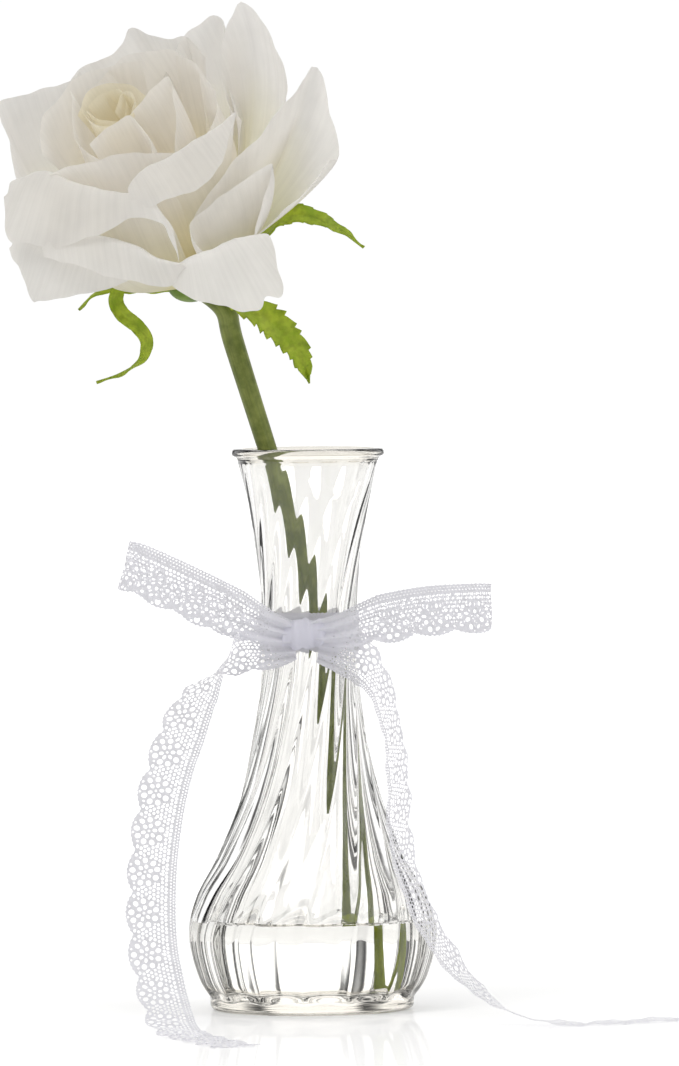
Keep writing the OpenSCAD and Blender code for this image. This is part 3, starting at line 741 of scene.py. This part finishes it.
# Each sepal: its middle line from the flower's base, the way its width lies, and its width
SEPALS = [
    ([(6, 3, -3), (13, 2, 2), (20, 0, 8.2), (24.5, -1, 12.4), (29.5, -2, 13.4), (35, -2, 11.8),
      (40.5, -1, 8.8), (46.4, 0, 4.4)],
     [(0, 1, 0.2), (0, 1, 0.4), (0, 1, 0.6), (0, 0.8, 0.9), (0, 0.7, 1), (0, 0.8, 0.9), (0, 1, 0.7),
      (0, 1, 0.5)], 6.4),
    ([(5, -3, -6.5), (14.6, -5, -11.3), (20, -5, -13.8), (24, -5, -17.2), (28.4, -4.5, -22.3),
      (30.3, -4, -27), (31.6, -3, -31.6)],
     [(0, 1, 0.3), (0.3, 1, 0.7), (0.6, 0.5, 0.8), (0.8, 0.2, 0.7), (0.9, 0.1, 0.5), (1, 0, 0.3),
      (1, 0, 0.2)], 8.4),
    ([(-1.5, -4, -5.2), (-10, -9, -5.2), (-17, -10, -4.4), (-19.6, -10, -8.2), (-18, -10, -12.6),
      (-13.9, -9.5, -16), (-11.4, -9, -20.5),
      (-13.7, -8, -25.5), (-19, -7, -28.8), (-25, -6, -30.8)],
     [(0, 1, -0.3), (0, 1, -0.2), (0.5, 1, 0), (1, 0.5, 0), (1, 0.3, 0.3), (0.9, 0.2, 0.5), (1, 0.3, 0),
      (0.6, 0.8, 0), (0.3, 1, 0.4),
       (0, 1, 0.3)], 4.2),
    ([(-4.5, 2, -6.4), (-14, 0.5, -6.2), (-22, -1, -6), (-26, -2, -8), (-29.6, -3, -11.6)],
     [(0, 1, 0.3), (0, 1, 0.4), (0, 1, 0.6), (0.4, 0.8, 0.5), (0.5, 0.6, 0.4)], 4.0),
    ([(0, 8.5, -4), (2, 15, -4), (3, 22, -1), (3, 28, 5)],
     [(1, 0, 0), (1, 0, 0), (1, 0, 0), (1, 0, 0)], 5.5),
]


def build_sepal(n):
    pts, lie, width = SEPALS[n]
    per = 24
    path, across = spline(pts, per), spline(lie, per)
    where = arc_length(path)
    total = where[-1]
    t = unit(np.gradient(path, where, axis=0))
    d = unit(across - (across * t).sum(1, keepdims=True) * t)
    nrm = np.cross(t, d)
    cols = 15
    c = np.linspace(-1, 1, cols)[None, :]
    s = (where / total)[:, None]
    half = width / 2 * (0.12 + 0.88 * np.sin(np.radians(180 * np.minimum(0.97, 0.2 + 0.8 * s))) ** 0.7)
    # saw teeth that lean towards the tip
    tooth = np.mod(where[:, None] / 3.1 + 0.35 * (np.sign(c) > 0) + 0.15 * np.sin(where[:, None]), 1)
    bite = (0.14, 0.34, 0.04, 0.1, 0.1)[n]
    half = half * (1 + bite * (tooth - 0.5) * np.clip(np.abs(c) * 3 - 2, 0, 1) * np.clip(s * 4, 0, 1))
    half = half * np.clip((1 - s) * 9, 0.06, 1)
    keel = 0.10 * width * (np.abs(c) - 0.4)
    wave = 0.25 * np.sin(where[:, None] * 0.9 + n) * np.abs(c)
    grid = path[:, None] + d[:, None] * (half * c)[..., None] + nrm[:, None] * (keel + wave)[..., None]
    uv = np.stack(np.broadcast_arrays((c + 1) / 2, where[:, None] / 20), axis=-1)
    faces = grid_faces(len(path), cols)
    obj = mesh_object(f"sepal_leaf_{n + 1}", (grid + BASE).reshape(-1, 3), faces, uv=uv.reshape(-1, 2))
    thick = obj.modifiers.new("thick", "SOLIDIFY")
    thick.thickness = 0.0004
    thick.offset = 0
    paint(obj, sepal_green)
    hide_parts(f"sepal_{n + 1}")
    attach(obj, "rose")


for n in range(len(SEPALS)):
    build_sepal(n)

# Each petal is shaped by the line of its rim, from its left edge over its tip to its right
# edge, and a petal that turns back has the line of its crest too. Points are steps in
# millimetres from the flower's base: right, up and to the front.
PETALS = {
    # heart
    1: dict(rim=[(-18.5, 41, 31), (-16.4, 45.4, 29), (-14.6, 44, 30), (-15.4, 39.6, 32)],
            bulge=1, kind=0),
    2: dict(rim=[(-21.5, 44.5, 28), (-18.5, 46.4, 28), (-16.5, 44, 29), (-17, 40, 31)], bulge=1, kind=0),
    3: dict(rim=[(-25.6, 42, 29), (-23, 45.4, 28), (-18.8, 46, 28), (-14.8, 43.4, 29)], bulge=2, kind=0),
    4: dict(rim=[(-26.4, 41.6, 30), (-22.8, 39.4, 32), (-18, 38.6, 33), (-14.4, 41, 32)],
            bulge=2, kind=0),
    5: dict(rim=[(-27.8, 42.6, 29), (-24.6, 38.6, 33), (-20, 37.4, 34.5), (-14.8, 40, 33)],
            bulge=3, kind=0),
    6: dict(rim=[(-28.2, 40, 30), (-25.6, 45.6, 27), (-20.5, 48.4, 26), (-14.8, 47.4, 26),
                 (-10.5, 43, 28)], bulge=3, kind=0),
    7: dict(rim=[(-15, 39.6, 33.5), (-9.8, 45.2, 32), (-5, 50.2, 29.5), (-4, 43.5, 31.5),
                 (-3.4, 36.5, 34), (-3.6, 30, 36)],
            bulge=4, kind=1, roll=0.5),
    8: dict(rim=[(-25.8, 32.4, 37), (-20.6, 37.2, 36.5), (-14.6, 39.8, 35.5), (-10.6, 36, 36.5),
                 (-8.6, 29.5, 38)],
            bulge=4, kind=1, roll=0.5),
    # cups
    9: dict(rim=[(-36, 25.4, 37), (-28.5, 27.4, 40), (-22.6, 28.7, 41.5), (-14, 30.3, 42),
                 (-2.7, 30.2, 41), (3.5, 33.5, 37)],
            bulge=7, kind=1, roll=0.8),
    10: dict(rim=[(-26, 46, 21), (-16.5, 54.6, 17), (-8, 57, 15.5), (-3.6, 56, 16), (1.4, 52, 18),
                  (4.2, 46, 22)],
             bulge=6, kind=1, roll=0.9),
    11: dict(rim=[(-37.8, 30, 31), (-37.4, 38.6, 27), (-34, 44, 24), (-29.3, 48.8, 21.5),
                  (-20.6, 52.8, 18.5), (-12, 53.6, 18)],
             bulge=6, kind=1, roll=0.8),
    12: dict(rim=[(-4, 55, 17), (1.6, 52.4, 19), (6, 45.4, 23), (6.3, 39.4, 27), (3, 33.4, 32),
                  (-2, 29.6, 36)],
             bulge=6, kind=1, roll=1.4),
    13: dict(rim=[(-30.4, 47, 25), (-29.4, 39.3, 30), (-28.2, 32.7, 34.5), (-22.6, 28.6, 38.5),
                  (-16, 27.6, 40)],
             bulge=5, kind=1, roll=0.6),
    # outer petals
    14: dict(rim=[(-31, 45, 18), (-29.3, 51.8, 12), (-21, 54.8, 9.5), (-17.6, 58.6, 7.5),
                  (-15.2, 62.8, 6), (-10, 60.6, 4),
                  (-4.7, 60.2, 3), (-0.5, 60.6, 3), (4, 55, 5)], bulge=8, kind=2, roll=0.6),
    15: dict(rim=[(13, 40, 17), (9.4, 50, 12), (9.8, 58.8, 7), (11.8, 65.4, 4.5), (14.2, 70.2, 3),
                  (18.8, 65, 3.5), (22.8, 58.4, 5),
                  (25.4, 51, 8), (25, 42, 13), (22, 35, 18)], bulge=7, kind=2, roll=0.5),
    16: dict(rim=[(-28, 51.6, 12), (-32.8, 48, 14), (-43.4, 45.6, 15), (-48.2, 44, 17), (-48.8, 41, 19),
                  (-46.6, 33.2, 23),
                  (-44.2, 24, 28), (-42, 17, 30)], bulge=8, kind=2, roll=0.8),
    17: dict(crest=[(-15.4, 21, 47), (-11, 25.6, 45.5), (-1.4, 30.8, 43), (7.3, 36.2, 36.5),
                    (12.6, 39.4, 31)],
             rim=[(-13.6, 15.2, 53), (-8.6, 16.4, 52.5), (-3, 18.4, 50.5), (5.8, 22.6, 45.5),
                  (9.6, 28.4, 40.5), (13, 39.8, 31)],
             bulge=5, kind=2, roll=0.3),
    18: dict(crest=[(-45, 23, 30), (-37.4, 25.4, 35), (-27, 21.6, 42.5), (-17, 19.6, 46.5),
                    (-9, 17.4, 48.5), (-3.6, 10, 48)],
             rim=[(-48, 19, 33), (-48.4, 13.6, 35), (-46.6, 7.6, 37.5), (-38, 5.6, 41.5),
                  (-30, 6.4, 45.5), (-22, 9.8, 50),
                  (-15, 13, 53.5), (-8, 12.7, 55), (-4.5, 10.2, 54), (-1.6, 1.4, 50)],
             bulge=7, kind=2, roll=0.6),
    19: dict(rim=[(-6, 50, 13), (-1, 60, 4), (2.6, 63.4, 1.5), (6.4, 66.6, 0), (8.9, 64.6, 1),
                  (9.2, 57.6, 4), (10.4, 46, 11),
                  (14, 38, 18)], bulge=8, kind=2, roll=0.5),
    20: dict(crest=[(-38.4, 9.4, 37), (-30, 9.8, 41), (-22, 8.4, 45.5), (-14, 5.6, 50), (-8, 2.6, 52),
                    (-1.2, 1.2, 51)],
             rim=[(-38, 3.4, 42), (-24, -1, 48), (-17.3, -3, 50), (-10.7, -4.4, 51.5),
                  (-4.4, -4.8, 51.5), (0.4, -1, 51)],
             bulge=1, kind=2, roll=0.4),
    21: dict(rim=[(1.6, 12.6, 41), (5.6, 19.8, 38), (12.4, 27.8, 33), (21.2, 37.4, 26), (29.6, 48, 16.5),
                  (33.6, 53, 12.5),
                  (36.6, 48, 13), (38.2, 39.3, 16), (40.4, 28.4, 19), (37.6, 26.8, 20.5), (30, 18.2, 25),
                  (20, 9, 29)],
             bulge=3, kind=2, roll=0.3),
    22: dict(rim=[(3.4, 2.4, 45), (0.4, 8.4, 45), (1.2, 13.2, 43), (11, 20.4, 38), (22.4, 27.4, 31.5),
                  (21.2, 18.7, 34.5),
                  (18.4, 7, 37)], bulge=5, kind=2, roll=0.9),
    23: dict(crest=[(-45.4, 9.4, 28), (-37, 5.6, 33), (-24, 0.6, 38), (-16, -1.4, 40)],
             rim=[(-47, 5.4, 30), (-46.6, 2.6, 31), (-44.2, -0.4, 33), (-41.4, -8.8, 36),
                  (-38.6, -8.2, 36.5), (-29.3, -7.3, 39),
                  (-21.3, -5.4, 40.5), (-16, -3.4, 41)], bulge=4, kind=2, roll=0.7),
    24: dict(crest=[(-3.4, 1, 50), (6.6, 4.6, 47), (15.9, 8, 42), (20.6, 8.4, 38)],
             rim=[(-4.8, -4.4, 51), (0, -7.3, 52), (6, -9.7, 52), (10.8, -10.4, 51), (19, -11.4, 46.5),
                  (21, -8.2, 45),
                  (25, -7.2, 42), (24.4, -1.2, 41), (22.6, 6.4, 38)], bulge=4, kind=2, roll=0.6),
}


def along(points, s):
    """Points of a smooth curve at shares s of its length."""
    fine = spline(points, 24)
    where = arc_length(fine)
    return at_length(s * where[-1], where, fine)


CREST_AT = np.array([0, 0.48, 0.82, 1.0])


def through_four(net, v):
    """A smooth sheet from the seat through the belly and the crest to the rim."""
    at = CREST_AT
    slope = np.stack([(net[1] - net[0]) / (at[1] - at[0]), (net[2] - net[0]) / (at[2] - at[0]),
                      (net[3] - net[1]) / (at[3] - at[1]), (net[3] - net[2]) / (at[3] - at[2])])
    grid = np.zeros((len(v), *net.shape[1:]))
    for j, t in enumerate(v):
        k = min(int(np.searchsorted(at, t, side="right")) - 1, 2)
        w = at[k + 1] - at[k]
        x = (t - at[k]) / w
        grid[j] = ((2 * x ** 3 - 3 * x ** 2 + 1) * net[k] + (x ** 3 - 2 * x ** 2 + x) * w * slope[k]
                   + (3 * x ** 2 - 2 * x ** 3) * net[k + 1] + (x ** 3 - x ** 2) * w * slope[k + 1])
    return grid


def build_petal(n, rim, bulge, kind, crest=None, roll=0.6, ruffle=0.35):
    rows, cols = 60, 61
    s = np.linspace(0, 1, cols)
    top = along(rim, s)
    fold = along(crest, s) if crest else None
    # from right, up, front to right, back, up
    order = lambda p: np.stack([p[:, 0], -p[:, 2], p[:, 1]], axis=1)
    top = order(top)
    fold = order(fold) if crest else None
    lead = fold if crest else top
    radial = lead - (lead @ AXIS)[:, None] * AXIS
    middle = unit(radial.mean(0))
    side = np.cross(AXIS, middle)
    seat_r, seat_h = (2.2 + 0.3 * n, 3.0 - 0.3 * n) if kind == 0 else (5.0, 0.0) if kind == 1 else (6.8, -2.5)
    fan = (s - 0.5) * (1.1 if kind else 1.6)
    if ((top[-1] - top[0]) @ side) < 0:
        fan = -fan
    seat = AXIS * seat_h + seat_r * (np.cos(fan)[:, None] * middle + np.sin(fan)[:, None] * side)
    swell = bulge * (0.15 + 0.85 * np.sin(math.pi * s))[:, None]
    belly = seat * 0.5 + lead * 0.5 + (unit(radial) * 0.55 + middle * 0.65 - AXIS * 0.5) * swell
    v = np.linspace(0, 1, rows) ** 0.9
    if crest:
        grid = through_four(np.stack([seat, belly, lead, top]), v)
    else:
        t = v[:, None, None]
        ctrl = 2 * belly - 0.5 * (seat + lead)
        grid = (1 - t) ** 2 * seat + 2 * t * (1 - t) * ctrl + t ** 2 * lead
    du, dv = np.gradient(grid, axis=1), np.gradient(grid, axis=0)
    nrm = unit(np.cross(du, dv))
    nrm = nrm * np.sign((nrm * middle).sum(-1).mean() + 1e-9)
    u = (2 * s - 1)[None, :]
    vv = v[:, None]
    width = np.linalg.norm(np.diff(top, axis=0), axis=1).sum()
    length = np.linalg.norm(np.diff(grid[:, cols // 2], axis=0), axis=1).sum()
    seed = 1.7 * n
    edge = np.exp(-(1 - vv) * length / 2.2) + 0.6 * np.exp(-(1 - np.abs(u)) * width / 3.0) * vv ** 2
    off = roll * np.clip(edge, 0, 1.3)
    frill = np.sin(0.16 * u * width + seed) + 0.3 * np.sin(0.37 * u * width + 1.9 * seed + 4 * vv)
    off = off + ruffle * vv ** 2.5 * frill
    off = off + 0.025 * np.sin(0.8 * u * width + 3 * np.sin(3 * vv + seed)) * vv
    grid = grid + nrm * off[..., None]
    # the cut edge is not quite even
    nick = np.sin(0.21 * u * width + seed) + np.sin(0.5 * u * width + 2 * seed) * 0.4
    grid = grid + dv * (0.3 * vv ** 12 * nick)[..., None]
    uv = np.stack(np.broadcast_arrays((u + 1) / 2, vv), axis=-1)
    points, faces = (grid + BASE).reshape(-1, 3), grid_faces(rows, cols)
    obj = mesh_object(f"rose_petal_{n:02d}", points, faces, uv=uv.reshape(-1, 2))
    paint(obj, (heart_petal, cup_petal, outer_petal)[kind])
    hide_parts(f"petal_{n:02d}")
    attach(obj, "rose")


for n, shape in PETALS.items():
    build_petal(n, **shape)


# ---------------------------------------------------------------- floor and light

def build_floor():
    me = bpy.data.meshes.new("floor")
    size = 6.0
    corners = [(-size, -size, 0), (size, -size, 0), (size, size, 0), (-size, size, 0)]
    me.from_pydata(corners, [], [(0, 1, 2, 3)])
    floor = bpy.data.objects.new("floor", me)
    bpy.context.scene.collection.objects.link(floor)
    m = Shade("floor", "ShaderNodeMixShader")
    plain = m.set(m.add("ShaderNodeBsdfPrincipled"), Base_Color=(0.78, 0.78, 0.775, 1), Roughness=1.0,
                  Specular_IOR_Level=0.0, Emission_Color=(1, 1, 1, 1))
    gloss = m.set(m.add("ShaderNodeBsdfGlossy"), Color=(1, 1, 1, 1), Roughness=0.03)
    # the sweep is white to the eye, a little duller through glass, and throws less light back up
    place = m.add("ShaderNodeTexCoord")
    away = m.add("ShaderNodeVectorMath", operation="LENGTH")
    m.tree.links.new(place.outputs[3], away.inputs[0])
    sweep = m.set(m.add("ShaderNodeMapRange"), From_Min=0.05, From_Max=0.7, To_Min=0.27, To_Max=0.75)
    m.tree.links.new(away.outputs["Value"], sweep.inputs["Value"])
    glow = m.set(m.add("ShaderNodeMapRange"), To_Min=0.15)
    rays = m.add("ShaderNodeLightPath")
    seen = m.add("ShaderNodeMath", operation="MULTIPLY_ADD")
    seen.use_clamp = True
    m.tree.links.new(rays.outputs["Is Transmission Ray"], seen.inputs[0])
    seen.inputs[1].default_value = 0.36
    m.tree.links.new(rays.outputs["Is Camera Ray"], seen.inputs[2])
    m.link(seen, glow, "Value")
    m.link(sweep, glow, "To Max")
    m.link(glow, plain, "Emission Strength")
    m.main.inputs[0].default_value = 0.16
    m.tree.links.new(plain.outputs[0], m.main.inputs[1])
    m.tree.links.new(gloss.outputs[0], m.main.inputs[2])
    paint(floor, m.mat)


def build_world():
    """A white room to the eye. Glass sees bright panels with dark gaps, which draw its streaks."""
    world = bpy.data.worlds.new("studio")
    bpy.context.scene.world = world
    world.use_nodes = True
    tree = world.node_tree
    tree.nodes.clear()
    out = tree.nodes.new("ShaderNodeOutputWorld")
    back = tree.nodes.new("ShaderNodeBackground")
    plain = tree.nodes.new("ShaderNodeBackground")
    plain.inputs["Color"].default_value = (1, 1, 1, 1)
    plain.inputs["Strength"].default_value = 1.02
    mix = tree.nodes.new("ShaderNodeMixShader")
    path = tree.nodes.new("ShaderNodeLightPath")
    tree.links.new(path.outputs["Is Camera Ray"], mix.inputs[0])
    tree.links.new(back.outputs[0], mix.inputs[1])
    tree.links.new(plain.outputs[0], mix.inputs[2])
    tree.links.new(mix.outputs[0], out.inputs["Surface"])
    # dark cards stand between eight bright panels round the table
    geo = tree.nodes.new("ShaderNodeTexCoord")
    split = tree.nodes.new("ShaderNodeSeparateXYZ")
    tree.links.new(geo.outputs["Generated"], split.inputs[0])

    def maths(op, *values):
        node = tree.nodes.new("ShaderNodeMath")
        node.operation = op
        for k, value in enumerate(values):
            if isinstance(value, (int, float)):
                node.inputs[k].default_value = value
            else:
                tree.links.new(value, node.inputs[k])
        return node.outputs[0]

    azimuth = maths("ARCTAN2", split.outputs[1], split.outputs[0])
    bars = maths("COSINE", maths("MULTIPLY", azimuth, 8.0))
    ramp = tree.nodes.new("ShaderNodeValToRGB")
    # straight behind the vase the sweep is white
    behind = maths("MULTIPLY", maths("MAXIMUM", maths("SUBTRACT", split.outputs[1], 0.93), 0.0), 14.0)
    tree.links.new(maths("ADD", maths("MULTIPLY_ADD", bars, 0.5, 0.5), behind), ramp.inputs[0])
    ramp.color_ramp.elements[0].position = 0.0
    ramp.color_ramp.elements[0].color = grey(0.04)
    ramp.color_ramp.elements[1].position = 0.48
    ramp.color_ramp.elements[1].color = grey(1.0)
    tree.links.new(ramp.outputs[0], back.inputs["Color"])
    # the camera's side of the room is darker
    tree.links.new(maths("ADD", maths("MULTIPLY", split.outputs[1], 0.42), 0.92), back.inputs["Strength"])


def add_lights():
    for name, size_m, power, place in (
            ("key", 1.6, 26.0, (-1.15, -1.4, 2.45)),
            ("fill", 2.0, 14.0, (1.9, -0.9, 1.6))):
        data = bpy.data.lights.new(name, "AREA")
        data.shape = "DISK"
        data.size = size_m
        data.energy = power
        data.color = (1.0, 0.99, 0.975)
        lamp = bpy.data.objects.new(name, data)
        bpy.context.scene.collection.objects.link(lamp)
        lamp.location = place
        lamp.rotation_mode = "QUATERNION"
        lamp.rotation_quaternion = (Vector((0, 0, 0.14)) - Vector(place)).to_track_quat("-Z", "Y")
    bpy.context.scene.view_settings.view_transform = "Standard"


build_floor()
build_world()
add_lights()
